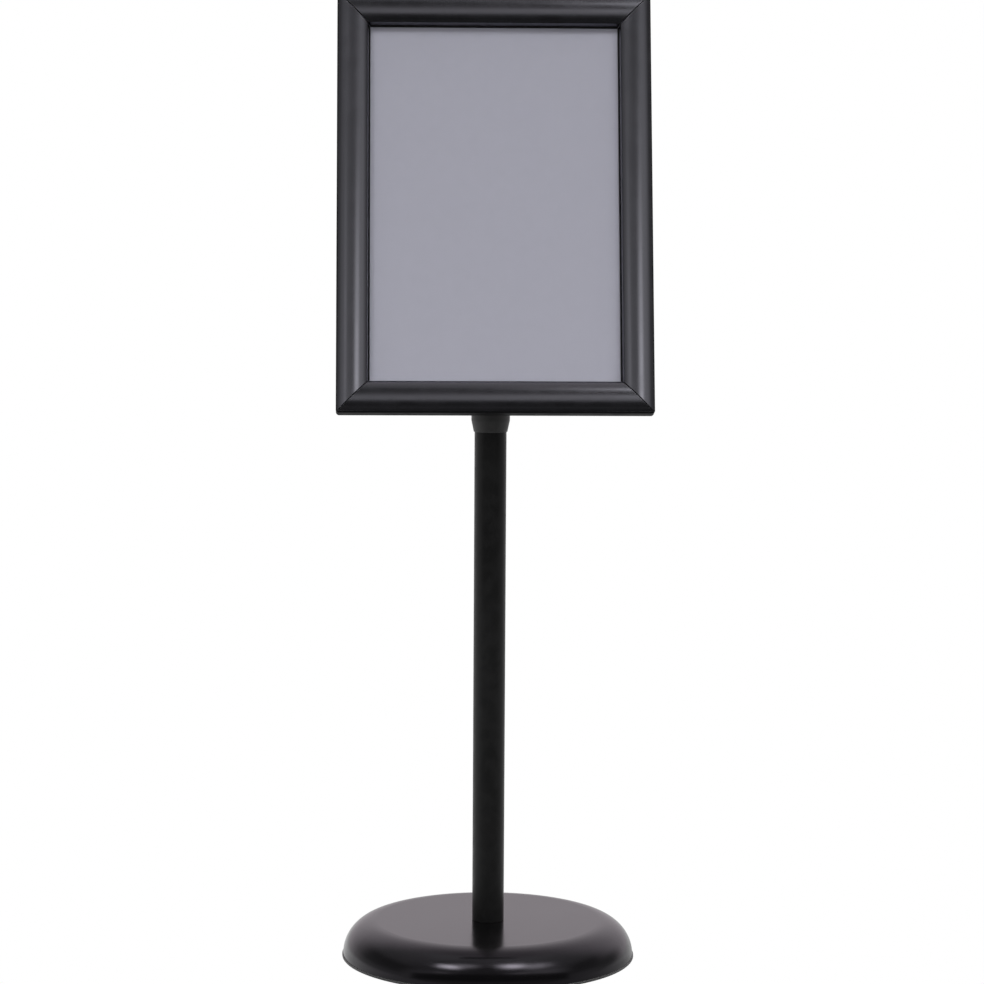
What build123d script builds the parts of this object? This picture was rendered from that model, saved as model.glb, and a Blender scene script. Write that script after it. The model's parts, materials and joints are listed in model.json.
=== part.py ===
from build123d import *
import math
import os

# Poster stand: a snap frame that turns from portrait to landscape on a weighted pole.
# Millimetres, +Z up. The front faces -Y, and the origin is the middle of the base on the floor.

# Sheet, backing and opening
sheet_width = 210.0
sheet_height = 297.0
sheet_overlap = 9.0  # strip of sheet hidden by each cover
sheet_play = 1.0  # sheet edge to the pocket wall
cover_sheet_thickness = 0.6
poster_thickness = 0.6
panel_thickness = 3.0
panel_play = 0.5

# Place of the frame on the stand
frame_tilt = 15.0  # degrees that the top leans back
frame_centre_y = -60.5  # middle of the frame's back face
frame_centre_z = 605.0
neck_drop = 180.0  # frame's middle down to the neck's mouth

# Rear extrusion, in U from the outer edge to the opening and W from the back face forward
profile_width = 25.0
rail_back = 1.4
rail_wall = 1.2
ledge_setback = 1.0  # ledge stops this far behind the edge of the opening
bead_radius = 1.6
bead_height = 10.3
upright_wall = 1.2
rib_depth = 1.0
rib_thickness = 0.9
rail_mitre_gap = 0.1
corner_radius = 2.5

# Snap cover
cover_wall = 1.0
hinge_clearance = 0.05
hook_tip_angle = 98.0  # where the hook ends over the bead
hook_wall_clearance = 0.15
hook_end_clearance = 0.5
crown_outer_angle = 37.0
crown_inner_angle = 38.0
nose_radius = 1.4
skirt_lean = 12.0  # degrees that the inner wall leans back from the opening
lip_clearance = 0.2
cover_mitre_gap = 0.7

# Corner keys and snap springs
key_thickness = 2.5
key_leg = 32.0
key_play = 0.2
key_corner_radius = 3.0
spring_thickness = 0.5
spring_length = 24.0
spring_gap = 0.3  # spring to hook
spring_curl_radius = 1.2
spring_foot_reach = 4.2
spring_bend_radius = 2.0
spring_press_angle = -45.0
spring_curl_sweep = 240.0
spring_foot_play = 0.2
spring_spacing_long = 150.0
spring_spacing_short = 90.0

# Turntable on the back panel
plate_thickness = 2.0
plate_corner_radius = 12.0
plate_screw_spacing = 60.0
plate_margin = 12.0
plate_screw_radius = 2.0
plate_screw_head_radius = 3.8
plate_screw_tail = 0.8
countersink_angle = 45.0
screw_clearance = 0.1
stop_pin_radius = 2.0
stop_pin_margin = 3.0  # pin to the slide washer, and to the flange's rim
stop_pin_depth = 5.0
stop_clearance = 0.3
turn_travel = 90.0
stop_pin_angle = 135.0

# Pivot
shoulder_radius = 6.0
running_clearance = 0.05
pivot_head_radius = 10.0
pivot_head_thickness = 1.8
pivot_head_fillet = 0.8
pivot_socket_width = 6.0
pivot_socket_depth = 4.0
pivot_thread_radius = 4.0
pivot_thread_length = 14.0
wave_washer_thickness = 0.8
wave_washer_radius = 10.0
pivot_well_play = 2.0
pivot_insert_wall = 2.5
slide_washer_radius = 22.0
slide_washer_thickness = 1.5

# Neck
neck_wall = 2.5
neck_mouth_wall = 0.6
neck_bend_radius = 36.0
neck_flange_thickness = 6.0
flange_rim_fillet = 1.2
neck_taper = 9.0
neck_socket_depth = 95.0
neck_bore_clearance = 0.1
set_screw_radius = 3.0
set_screw_heights = (30.0, 70.0)  # above the neck's mouth
set_screw_socket_width = 3.0
set_screw_socket_depth = 1.2

# Pole
pole_radius = 12.7
pole_wall = 1.2
pole_end_gap = 0.3
foot_insert_end = 6.0
bolt_end_gap = 4.0
fit_clearance = 0.05

# Base
foot_height = 1.5
foot_radius = 8.0
foot_inset = 21.3  # tray's edge to the middle of a foot
foot_count = 4
tray_rim = 0.8  # tray's edge beyond the shell
tray_floor = 2.0
tray_rim_fillet = 0.6
tray_ring_height = 6.0
tray_ring_wall = 1.5
base_radius = 116.5
base_flat_radius = 90.0
base_height = 30.6
shell_wall = 1.2
shell_clearance = 0.3
ballast_clearance = 2.3
ballast_top_gap = 0.4
base_bolt_radius = 5.0
base_bolt_clearance = 0.5
base_bolt_head_width = 17.0
base_bolt_head_height = 6.4
base_bolt_reach = 22.0
base_washer_radius = 15.0
base_washer_thickness = 2.5
bolt_well_play = 3.0
bolt_well_depth = 12.0

# Sizes that follow
opening_width = sheet_width - 2 * sheet_overlap
opening_height = sheet_height - 2 * sheet_overlap
frame_width = opening_width + 2 * profile_width
frame_height = opening_height + 2 * profile_width
pocket_inset = profile_width - sheet_overlap - sheet_play
upright_start = pocket_inset - upright_wall
rib_height = rail_back + key_thickness + key_play
spring_seat = rib_height + rib_thickness
upright_height = spring_seat + spring_thickness + spring_foot_play + rib_thickness
panel_front = rail_back + panel_thickness
poster_front = panel_front + poster_thickness
sheet_front = poster_front + cover_sheet_thickness
hook_inner = bead_radius + hinge_clearance
hook_outer = hook_inner + cover_wall
tray_top = foot_height + tray_floor
tray_radius = base_radius + tray_rim
foot_circle_radius = tray_radius - foot_inset
bolt_well_radius = base_washer_radius + bolt_well_play
foot_insert_bore_depth = base_bolt_reach + bolt_end_gap
plate_back = rail_back - plate_thickness
plate_size = plate_screw_spacing + 2 * plate_margin
flange_front = plate_back - slide_washer_thickness
stop_circle_radius = slide_washer_radius + stop_pin_margin + stop_pin_radius
neck_flange_radius = stop_circle_radius + stop_pin_radius + stop_pin_margin
pivot_insert_radius = pivot_thread_radius + pivot_insert_wall
neck_bore_radius = pole_radius + neck_bore_clearance
neck_radius = neck_bore_radius + neck_wall
neck_mouth_radius = neck_bore_radius + neck_mouth_wall
neck_mouth_z = frame_centre_z - neck_drop
pole_top = neck_mouth_z + neck_socket_depth - pole_end_gap

tilt = math.radians(frame_tilt)
face = Plane(
    origin=(0, frame_centre_y, frame_centre_z),
    x_dir=(1, 0, 0),
    z_dir=(0, -math.cos(tilt), math.sin(tilt)),
)


def around(centre, radius, degrees):
    """Point on a circle, at an angle counted from the first axis."""
    angle = math.radians(degrees)
    return (centre[0] + radius * math.cos(angle), centre[1] + radius * math.sin(angle))


def side_section(across, up):
    """Section plane at the middle of one side: X points to the opening, Y to the reader."""
    middle = face.from_local_coords((across * frame_width / 2, up * frame_height / 2, 0))
    inward = face.from_local_coords((-across, -up, 0)) - face.origin
    along = inward.cross(face.z_dir)
    return Plane(origin=middle, x_dir=inward, z_dir=along)


def mitre_plane(section, length, end, gap):
    """Plane through one corner at 45 degrees, moved back by the gap."""
    normal = (section.z_dir * end + section.x_dir).normalized()
    corner = section.origin + section.z_dir * (end * length / 2)
    return Plane(origin=corner - normal * gap, z_dir=normal)


# Sides of the frame: name, section plane, length along the outer edge, spacing of its springs
sides = (
    ("bottom", side_section(0, -1), frame_width, spring_spacing_short),
    ("right", side_section(1, 0), frame_height, spring_spacing_long),
    ("top", side_section(0, 1), frame_width, spring_spacing_short),
    ("left", side_section(-1, 0), frame_height, spring_spacing_long),
)


def make_rail(section, length):
    """Rear extrusion: back wall with ledge, outer wall with the hinge bead, and the pocket upright."""
    with BuildPart() as rail:
        with BuildSketch(section):
            Rectangle(profile_width - ledge_setback, rail_back, align=(Align.MIN, Align.MIN))
            Rectangle(rail_wall, bead_height, align=(Align.MIN, Align.MIN))
            with Locations((bead_radius, bead_height)):
                Circle(bead_radius)
            with Locations((upright_start, 0)):
                Rectangle(upright_wall, upright_height, align=(Align.MIN, Align.MIN))
            with Locations((rail_wall, rib_height)):
                Rectangle(rib_depth, rib_thickness, align=(Align.MIN, Align.MIN))
            with Locations((upright_start, rib_height), (upright_start, upright_height - rib_thickness)):
                Rectangle(rib_depth, rib_thickness, align=(Align.MAX, Align.MIN))
        extrude(amount=length / 2, both=True)
        for end in (-1, 1):
            split(bisect_by=mitre_plane(section, length, end, rail_mitre_gap / 2), keep=Keep.BOTTOM)
        with BuildSketch(face):
            RectangleRounded(frame_width, frame_height, corner_radius)
        extrude(amount=bead_height + bead_radius, mode=Mode.INTERSECT)
    return rail


def hook_sector(centre, start, end):
    """Part of the hook's ring between two angles about the bead."""
    with BuildLine() as sector:
        outer = CenterArc(centre, hook_outer, start, end - start)
        inner = CenterArc(centre, hook_inner, start, end - start)
        Line(outer @ 0, inner @ 0)
        Line(outer @ 1, inner @ 1)
    make_face(sector.edges())


def make_cover(section, length):
    """Snap cover: arched front, a nose, a leaning skirt, and a hook that turns on the rail's bead."""
    bead = (bead_radius, bead_height)
    tip = around(bead, hook_outer, hook_tip_angle)
    lip_height = sheet_front + lip_clearance

    # The crown's radius puts the foot of the skirt at the edge of the opening
    skirt_normal = Vector(*around((0, 0), 1, skirt_lean))
    outer_normal = Vector(*around((0, 0), 1, 90 + crown_outer_angle))
    nose_normal = Vector(*around((0, 0), 1, 90 - crown_inner_angle))
    tip_to_foot = Vector(profile_width, lip_height) - Vector(*tip)
    nose_turn = nose_radius * (nose_normal.dot(skirt_normal) - 1)
    crown_span = (nose_normal - outer_normal).dot(skirt_normal)
    crown_radius = (tip_to_foot.dot(skirt_normal) + nose_turn) / crown_span

    crown_centre = around(tip, -crown_radius, 90 + crown_outer_angle)
    nose_centre = around(crown_centre, crown_radius - nose_radius, 90 - crown_inner_angle)
    crown_start = 90 - crown_inner_angle
    crown_sweep = crown_outer_angle + crown_inner_angle
    nose_sweep = crown_start - skirt_lean
    lip_width = cover_wall / math.cos(math.radians(skirt_lean))
    back_angle = -math.degrees(math.acos((rail_wall + hook_wall_clearance - bead_radius) / hook_outer))
    hook_setback = bead_radius + hook_outer + hook_end_clearance
    with BuildPart() as cover:
        with BuildSketch(section):
            with BuildLine():
                crown = CenterArc(crown_centre, crown_radius, crown_start, crown_sweep)
                nose = CenterArc(nose_centre, nose_radius, skirt_lean, nose_sweep)
                skirt = Line(nose @ 0, (profile_width, lip_height))
                lip = Line(skirt @ 1, (profile_width - lip_width, lip_height))
                inner_nose = CenterArc(nose_centre, nose_radius - cover_wall, skirt_lean, nose_sweep)
                Line(lip @ 1, inner_nose @ 0)
                inner_crown = CenterArc(crown_centre, crown_radius - cover_wall, crown_start, crown_sweep)
                Line(inner_crown @ 1, crown @ 1)
            make_face()
            hook_sector(bead, 0, hook_tip_angle)
        extrude(amount=length / 2, both=True)
        for end in (-1, 1):
            split(bisect_by=mitre_plane(section, length, end, cover_mitre_gap / 2), keep=Keep.BOTTOM)
        with BuildSketch(section):
            hook_sector(bead, back_angle, 0)
        extrude(amount=length / 2 - hook_setback, both=True)
    return cover


def make_springs(section, spacing):
    """Two leaf springs: a foot under the upright's lip and a curled end beside the hook."""
    half = spring_thickness / 2
    foot_w = spring_seat + half
    foot_start = upright_start - spring_foot_play
    bend = (upright_start - spring_foot_reach, foot_w)
    curl_distance = hook_outer + spring_gap + spring_curl_radius
    curl_centre = around((bead_radius, bead_height), curl_distance, spring_press_angle)
    curl_mid = spring_curl_radius - half
    reach = math.dist(curl_centre, bend)
    toward_bend = math.degrees(math.atan2(bend[1] - curl_centre[1], bend[0] - curl_centre[0]))
    touch_angle = toward_bend + math.degrees(math.acos(curl_mid / reach))
    curl_end = spring_press_angle + spring_curl_sweep
    with BuildPart() as springs:
        for place in (-spacing / 2, spacing / 2):
            with BuildSketch(section.offset(place - spring_length / 2)):
                with BuildLine():
                    touch = around(curl_centre, curl_mid, touch_angle)
                    FilletPolyline((foot_start, foot_w), bend, touch, radius=spring_bend_radius)
                    CenterArc(curl_centre, curl_mid, touch_angle, curl_end - touch_angle)
                trace(line_width=spring_thickness)
            extrude(amount=spring_length)
    return springs


# Weighted base: tray, feet, ballast, shell and the bolt that holds the pole
edge_width = base_radius - base_flat_radius
shell_span = base_height - tray_top
ring_share = math.sqrt(1 - (tray_ring_height / (shell_span - shell_wall)) ** 2)
ring_radius = base_flat_radius + (edge_width - shell_wall) * ring_share - shell_clearance
with BuildPart() as base_tray:
    with BuildSketch(Plane.XY.offset(foot_height)):
        Circle(tray_radius)
        Circle(bolt_well_radius, mode=Mode.SUBTRACT)
    extrude(amount=tray_floor)
    with BuildSketch(Plane.XY.offset(tray_top)):
        Circle(ring_radius)
        Circle(ring_radius - tray_ring_wall, mode=Mode.SUBTRACT)
    extrude(amount=tray_ring_height)
    rim = base_tray.edges().filter_by(GeomType.CIRCLE).sort_by(SortBy.RADIUS)[-2:]
    fillet(rim, radius=tray_rim_fillet)

with BuildPart() as rubber_feet:
    with BuildSketch():
        with PolarLocations(foot_circle_radius, foot_count, start_angle=180 / foot_count):
            Circle(foot_radius)
    extrude(amount=foot_height)

with BuildPart() as base_shell:
    with BuildSketch(Plane.XZ):
        with BuildLine():
            edge_centre = (base_flat_radius, tray_top)
            bolt_hole = base_bolt_radius + base_bolt_clearance
            outer_edge = EllipticalCenterArc(edge_centre, edge_width, shell_span, arc_size=90)
            inner_edge = EllipticalCenterArc(
                edge_centre, edge_width - shell_wall, shell_span - shell_wall, arc_size=90
            )
            Line(outer_edge @ 0, inner_edge @ 0)
            Polyline(
                outer_edge @ 1,
                (bolt_hole, base_height),
                (bolt_hole, base_height - shell_wall),
                inner_edge @ 1,
            )
        make_face()
    revolve(axis=Axis.Z)

ballast_top = base_height - shell_wall - ballast_top_gap
with BuildPart() as base_ballast:
    with BuildSketch(Plane.XZ):
        with BuildLine():
            ballast_edge = EllipticalCenterArc(
                (base_flat_radius, tray_top),
                ring_radius - tray_ring_wall - ballast_clearance - base_flat_radius,
                ballast_top - tray_top,
                arc_size=90,
            )
            Polyline(
                ballast_edge @ 1,
                (bolt_hole, ballast_top),
                (bolt_hole, tray_top + bolt_well_depth),
                (bolt_well_radius, tray_top + bolt_well_depth),
                (bolt_well_radius, tray_top),
                ballast_edge @ 0,
            )
        make_face()
    revolve(axis=Axis.Z)

washer_bottom = tray_top + bolt_well_depth - base_washer_thickness
with BuildPart() as base_washer:
    with BuildSketch(Plane.XY.offset(washer_bottom)):
        Circle(base_washer_radius)
        Circle(bolt_hole, mode=Mode.SUBTRACT)
    extrude(amount=base_washer_thickness)

with BuildPart() as base_bolt:
    with BuildSketch(Plane.XY.offset(washer_bottom)):
        RegularPolygon(base_bolt_head_width / 2, 6, major_radius=False)
    extrude(amount=-base_bolt_head_height)
    with BuildSketch(Plane.XY.offset(washer_bottom)):
        Circle(base_bolt_radius)
    extrude(amount=base_height + base_bolt_reach - washer_bottom)

# Pole and the threaded plug in its foot
with BuildPart() as pole_tube:
    with BuildSketch(Plane.XY.offset(base_height)):
        Circle(pole_radius)
        Circle(pole_radius - pole_wall, mode=Mode.SUBTRACT)
    extrude(amount=pole_top - base_height)

with BuildPart() as pole_foot_insert:
    with BuildSketch(Plane.XY.offset(base_height)):
        Circle(pole_radius - pole_wall - fit_clearance)
    extrude(amount=foot_insert_bore_depth + foot_insert_end)
    with BuildSketch(Plane.XY.offset(base_height)):
        Circle(base_bolt_radius + fit_clearance)
    extrude(amount=foot_insert_bore_depth, mode=Mode.SUBTRACT)

# Neck: a flange behind the frame, a bend, and a socket over the pole with a tapered mouth
flange_plane = face.offset(flange_front - neck_flange_thickness)
bend_drop = flange_plane.origin.Y * math.tan(tilt)
bend_corner = (0, 0, flange_plane.origin.Z + bend_drop)
taper_top = neck_mouth_z + neck_taper
with BuildPart() as neck_elbow:
    with BuildLine():
        FilletPolyline(flange_plane.origin, bend_corner, (0, 0, taper_top), radius=neck_bend_radius)
    with BuildSketch(flange_plane):
        Circle(neck_radius)
    sweep()
    with BuildSketch(flange_plane):
        Circle(neck_flange_radius)
    extrude(amount=neck_flange_thickness)
    with BuildSketch(Plane.XZ):
        with BuildLine():
            Polyline(
                (0, neck_mouth_z),
                (neck_mouth_radius, neck_mouth_z),
                (neck_radius, taper_top),
                (0, taper_top),
                close=True,
            )
        make_face()
    revolve(axis=Axis.Z)
    with BuildSketch(Plane.XY.offset(neck_mouth_z)):
        Circle(neck_bore_radius)
    extrude(amount=neck_socket_depth, mode=Mode.SUBTRACT)
    for height in set_screw_heights:
        with BuildSketch(Plane(origin=(0, 0, neck_mouth_z + height), z_dir=(0, 1, 0))):
            Circle(set_screw_radius + fit_clearance)
        extrude(amount=2 * neck_radius, mode=Mode.SUBTRACT)
    with BuildSketch(face.offset(flange_front)):
        with PolarLocations(stop_circle_radius, 1, start_angle=stop_pin_angle):
            Circle(stop_pin_radius + fit_clearance)
    extrude(amount=-stop_pin_depth, mode=Mode.SUBTRACT)
    with BuildSketch(face.offset(flange_front)):
        Circle(pivot_insert_radius + fit_clearance)
    extrude(amount=-pivot_thread_length, mode=Mode.SUBTRACT)
    flange_rim = neck_elbow.edges().filter_by(GeomType.CIRCLE).sort_by(SortBy.RADIUS)[-2:]
    fillet(flange_rim, radius=flange_rim_fillet)

with BuildPart() as neck_set_screws:
    tip_distance = pole_radius + fit_clearance
    for height in set_screw_heights:
        with BuildSketch(Plane(origin=(0, tip_distance, neck_mouth_z + height), z_dir=(0, 1, 0))):
            Circle(set_screw_radius)
        extrude(amount=neck_radius - tip_distance)
        with BuildSketch(Plane(origin=(0, neck_radius, neck_mouth_z + height), z_dir=(0, 1, 0))):
            RegularPolygon(set_screw_socket_width / 2, 6, major_radius=False)
        extrude(amount=-set_screw_socket_depth, mode=Mode.SUBTRACT)

# Pivot: a threaded insert and a shoulder screw that the frame turns on, with its two washers
with BuildPart() as pivot_insert:
    with BuildSketch(face.offset(flange_front)):
        Circle(pivot_insert_radius)
        Circle(pivot_thread_radius + fit_clearance, mode=Mode.SUBTRACT)
    extrude(amount=-pivot_thread_length)

head_bottom = rail_back + wave_washer_thickness
with BuildPart() as pivot_screw:
    with BuildSketch(face.offset(head_bottom)):
        Circle(pivot_head_radius)
    extrude(amount=pivot_head_thickness)
    fillet(pivot_screw.edges().group_by(Axis(face.origin, face.z_dir))[-1], radius=pivot_head_fillet)
    with BuildSketch(face.offset(head_bottom)):
        Circle(shoulder_radius)
    extrude(amount=flange_front - head_bottom)
    with BuildSketch(face.offset(flange_front)):
        Circle(pivot_thread_radius)
    extrude(amount=-pivot_thread_length)
    with BuildSketch(face.offset(head_bottom + pivot_head_thickness)):
        RegularPolygon(pivot_socket_width / 2, 6, major_radius=False)
    extrude(amount=-pivot_socket_depth, mode=Mode.SUBTRACT)

with BuildPart() as wave_washer:
    with BuildSketch(face.offset(rail_back)):
        Circle(wave_washer_radius)
        Circle(shoulder_radius + running_clearance, mode=Mode.SUBTRACT)
    extrude(amount=wave_washer_thickness)

with BuildPart() as slide_washer:
    with BuildSketch(face.offset(flange_front)):
        Circle(slide_washer_radius)
        Circle(shoulder_radius + running_clearance, mode=Mode.SUBTRACT)
    extrude(amount=slide_washer_thickness)

# The pin stands in the flange and ends inside the turntable's slot, short of the back panel
with BuildPart() as stop_pin:
    with BuildSketch(face.offset(flange_front - stop_pin_depth)):
        with PolarLocations(stop_circle_radius, 1, start_angle=stop_pin_angle):
            Circle(stop_pin_radius)
    extrude(amount=stop_pin_depth + slide_washer_thickness + plate_thickness - stop_clearance)

# Turntable plate, with the curved slot that stops the frame at portrait and at landscape
slot_overrun = math.degrees(stop_clearance / stop_circle_radius)
with BuildPart() as turntable_plate:
    with BuildSketch(face.offset(plate_back)):
        RectangleRounded(plate_size, plate_size, plate_corner_radius)
        Circle(shoulder_radius + running_clearance, mode=Mode.SUBTRACT)
        with GridLocations(plate_screw_spacing, plate_screw_spacing, 2, 2):
            Circle(plate_screw_radius + screw_clearance, mode=Mode.SUBTRACT)
        with BuildLine(mode=Mode.PRIVATE) as slot_line:
            CenterArc(
                (0, 0),
                stop_circle_radius,
                stop_pin_angle + slot_overrun,
                -(turn_travel + 2 * slot_overrun),
            )
        SlotArc(slot_line.edge(), 2 * (stop_pin_radius + stop_clearance), mode=Mode.SUBTRACT)
    extrude(amount=plate_thickness)

screw_face = face.offset(panel_front)
with BuildPart() as plate_screws:
    with BuildSketch(face.offset(plate_back - plate_screw_tail)):
        with GridLocations(plate_screw_spacing, plate_screw_spacing, 2, 2):
            Circle(plate_screw_radius)
    extrude(amount=panel_front - plate_back + plate_screw_tail)
    head_depth = plate_screw_head_radius - plate_screw_radius
    with BuildSketch(screw_face):
        with GridLocations(plate_screw_spacing, plate_screw_spacing, 2, 2):
            Circle(plate_screw_head_radius)
    extrude(amount=-head_depth, taper=countersink_angle)

# Back panel, poster and clear sheet
with BuildPart() as back_panel:
    with BuildSketch(face.offset(rail_back)):
        panel_width = frame_width - 2 * pocket_inset - 2 * panel_play
        panel_height = frame_height - 2 * pocket_inset - 2 * panel_play
        Rectangle(panel_width, panel_height)
        Circle(wave_washer_radius + pivot_well_play, mode=Mode.SUBTRACT)
        with GridLocations(plate_screw_spacing, plate_screw_spacing, 2, 2):
            Circle(plate_screw_radius + screw_clearance, mode=Mode.SUBTRACT)
    extrude(amount=panel_thickness)
    with BuildSketch(screw_face):
        with GridLocations(plate_screw_spacing, plate_screw_spacing, 2, 2):
            Circle(plate_screw_head_radius + screw_clearance)
    extrude(amount=-head_depth, taper=countersink_angle, mode=Mode.SUBTRACT)

with BuildPart() as poster_sheet:
    with BuildSketch(face.offset(panel_front)):
        Rectangle(sheet_width, sheet_height)
    extrude(amount=poster_thickness)

with BuildPart() as clear_sheet:
    with BuildSketch(face.offset(poster_front)):
        Rectangle(sheet_width, sheet_height)
    extrude(amount=cover_sheet_thickness)

# L-shaped keys that lie in the channel and join the rails at the corners
with BuildPart() as corner_keys:
    with BuildSketch(face.offset(rail_back)):
        near = rail_wall + key_play
        far = upright_start - key_play
        left = -frame_width / 2
        bottom = -frame_height / 2
        with BuildLine():
            Polyline(
                (left + near, bottom + near),
                (left + key_leg, bottom + near),
                (left + key_leg, bottom + far),
                (left + far, bottom + far),
                (left + far, bottom + key_leg),
                (left + near, bottom + key_leg),
                close=True,
            )
        key = make_face()
        outer_corner = key.vertices().sort_by_distance((left, bottom))[0]
        fillet(outer_corner, radius=key_corner_radius)
        mirror(about=Plane.YZ)
        mirror(about=Plane.XZ)
    extrude(amount=key_thickness)

pieces = {
    "base_tray": base_tray,
    "rubber_feet": rubber_feet,
    "base_shell": base_shell,
    "base_ballast": base_ballast,
    "base_washer": base_washer,
    "base_bolt": base_bolt,
    "pole_tube": pole_tube,
    "pole_foot_insert": pole_foot_insert,
    "neck_elbow": neck_elbow,
    "neck_set_screws": neck_set_screws,
    "pivot_insert": pivot_insert,
    "pivot_screw": pivot_screw,
    "wave_washer": wave_washer,
    "slide_washer": slide_washer,
    "stop_pin": stop_pin,
    "turntable_plate": turntable_plate,
    "plate_screws": plate_screws,
    "back_panel": back_panel,
    "poster_sheet": poster_sheet,
    "clear_sheet": clear_sheet,
    "corner_keys": corner_keys,
}
for name, section, length, spacing in sides:
    pieces["rail_" + name] = make_rail(section, length)
    pieces["cover_" + name] = make_cover(section, length)
    pieces["springs_" + name] = make_springs(section, spacing)

os.makedirs("parts", exist_ok=True)
for name, piece in pieces.items():
    piece.part.label = name
    export_step(piece.part, "parts/" + name + ".step")
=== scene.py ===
# %% [markdown]
# # A poster stand, dressed in Blender
# The stand comes in as a imported CAD model: every solid has its true shape and place.
# Blender's work here is the looks. It gives each solid a finish, adds the small
# moulded and riveted details that a drawing leaves out, and sets up a plain studio.

# %% Load the frame
import json
import math

import bpy
from mathutils import Matrix, Vector


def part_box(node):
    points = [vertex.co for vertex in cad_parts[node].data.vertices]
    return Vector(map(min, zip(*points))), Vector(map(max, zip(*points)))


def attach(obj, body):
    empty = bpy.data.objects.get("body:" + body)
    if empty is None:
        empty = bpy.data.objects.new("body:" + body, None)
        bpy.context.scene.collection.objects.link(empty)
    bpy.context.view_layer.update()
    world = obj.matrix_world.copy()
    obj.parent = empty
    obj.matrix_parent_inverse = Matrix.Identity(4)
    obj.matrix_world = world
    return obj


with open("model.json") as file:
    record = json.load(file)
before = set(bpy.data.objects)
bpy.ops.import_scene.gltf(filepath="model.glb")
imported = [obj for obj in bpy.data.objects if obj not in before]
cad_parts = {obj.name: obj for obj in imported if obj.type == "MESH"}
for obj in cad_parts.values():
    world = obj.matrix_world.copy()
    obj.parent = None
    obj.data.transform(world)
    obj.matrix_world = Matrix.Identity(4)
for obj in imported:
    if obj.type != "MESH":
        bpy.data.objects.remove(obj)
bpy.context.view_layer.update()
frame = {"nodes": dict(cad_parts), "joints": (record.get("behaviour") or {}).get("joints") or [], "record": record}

nodes = frame["nodes"]
record = frame["record"]

# %% [markdown]
# ## Where the tilted frame stands
# The picture frame leans back and turns about one screw. The joint of that screw
# already says where the frame's middle is and which way it faces, so we read the
# lean from there instead of writing it a second time.

# %% The frame's own axes
turn_joint = next(joint for joint in frame["joints"] if joint["name"] == "frame_turn")
face_middle = Vector(turn_joint["pos_m"])
face_normal = Vector(turn_joint["axis"])
face_right = Vector((1.0, 0.0, 0.0))
face_up = face_normal.cross(face_right)
tilt = math.asin(face_normal.z)


def on_face(across, upward, outward):
    """A point given in the tilted frame's own directions, in metres."""
    return face_middle + face_right * across + face_up * upward + face_normal * outward


print("the frame leans back by degrees:", round(math.degrees(tilt), 2))

# %% [markdown]
# ## The camera
# A product picture is easiest to repeat when the camera is described as a
# photographer would: how far away it stands, how high, how far round to the side,
# and how it is pointed. The three angles turn into a rotation matrix whose columns
# are the camera's right, up and backward directions.

# %% Camera
image_size = 984
sensor_width = 36.0
camera_distance = 2.5266
camera_height = 0.6482
camera_side = math.radians(-1.914)
camera_pan = math.radians(0.0316)
camera_pitch = math.radians(6.1335)
camera_roll = math.radians(0.3204)
focal_pixels = 3198.0
farthest_seen = 50.0

heading = camera_side - camera_pan
forward = Vector((
    -math.sin(heading) * math.cos(camera_pitch),
    math.cos(heading) * math.cos(camera_pitch),
    -math.sin(camera_pitch),
))
level_right = forward.cross(Vector((0, 0, 1))).normalized()
level_up = level_right.cross(forward)
right = level_right * math.cos(camera_roll) + level_up * math.sin(camera_roll)
up = level_up * math.cos(camera_roll) - level_right * math.sin(camera_roll)
camera_place = Vector((
    camera_distance * math.sin(camera_side),
    -camera_distance * math.cos(camera_side),
    camera_height,
))

camera_data = bpy.data.cameras.new("camera")
camera_data.sensor_width = sensor_width
camera_data.lens = sensor_width * focal_pixels / image_size
camera_data.clip_end = farthest_seen
camera = bpy.data.objects.new("camera", camera_data)
bpy.context.scene.collection.objects.link(camera)
camera_axes = Matrix((right, up, -forward)).transposed()
camera.matrix_world = Matrix.Translation(camera_place) @ camera_axes.to_4x4()
bpy.context.scene.camera = camera
print("lens, mm:", round(camera_data.lens, 1))

# %% [markdown]
# ## Small helpers for nodes
# A material in Blender is a graph of nodes. To keep the cells below short, one helper
# adds a node and fills in its inputs. A number or colour is set on the input's socket,
# and the output of another node is linked to it.

# %% Helpers: nodes and their inputs
def feed(tree, sockets, sources):
    """Link each named socket to its source, or set it where the source is a plain value."""
    for key, source in sources.items():
        if isinstance(source, bpy.types.NodeSocket):
            tree.links.new(source, sockets[key])
        else:
            sockets[key].default_value = source


def add_node(tree, kind, sources=None, **settings):
    """A node with its own settings, and with its inputs fed by their names or numbers."""
    node = tree.nodes.new("ShaderNode" + kind)
    for key, value in settings.items():
        setattr(node, key, value)
    feed(tree, node.inputs, sources or {})
    return node


def add_place(tree):
    """Where a point lies on its own object, in metres."""
    return add_node(tree, "TexCoord").outputs["Object"]


# %% [markdown]
# The next helpers are the few sums that come back in almost every graph: one step of
# arithmetic, a value graded between two limits, noise, and a blend of two colours or
# of two shaders by a mask.

# %% Helpers: small sums and blends
def calculate(tree, operation, *sources):
    return add_node(tree, "Math", dict(enumerate(sources)), operation=operation).outputs["Value"]


def grade(tree, value, low, high, first=0.0, second=1.0, smooth=False):
    """Runs from the first to the second while the value runs from low to high."""
    span = add_node(tree, "MapRange", {
        "Value": value, "From Min": low, "From Max": high, "To Min": first, "To Max": second,
    }, interpolation_type="SMOOTHSTEP" if smooth else "LINEAR")
    return span.outputs["Result"]


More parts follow.
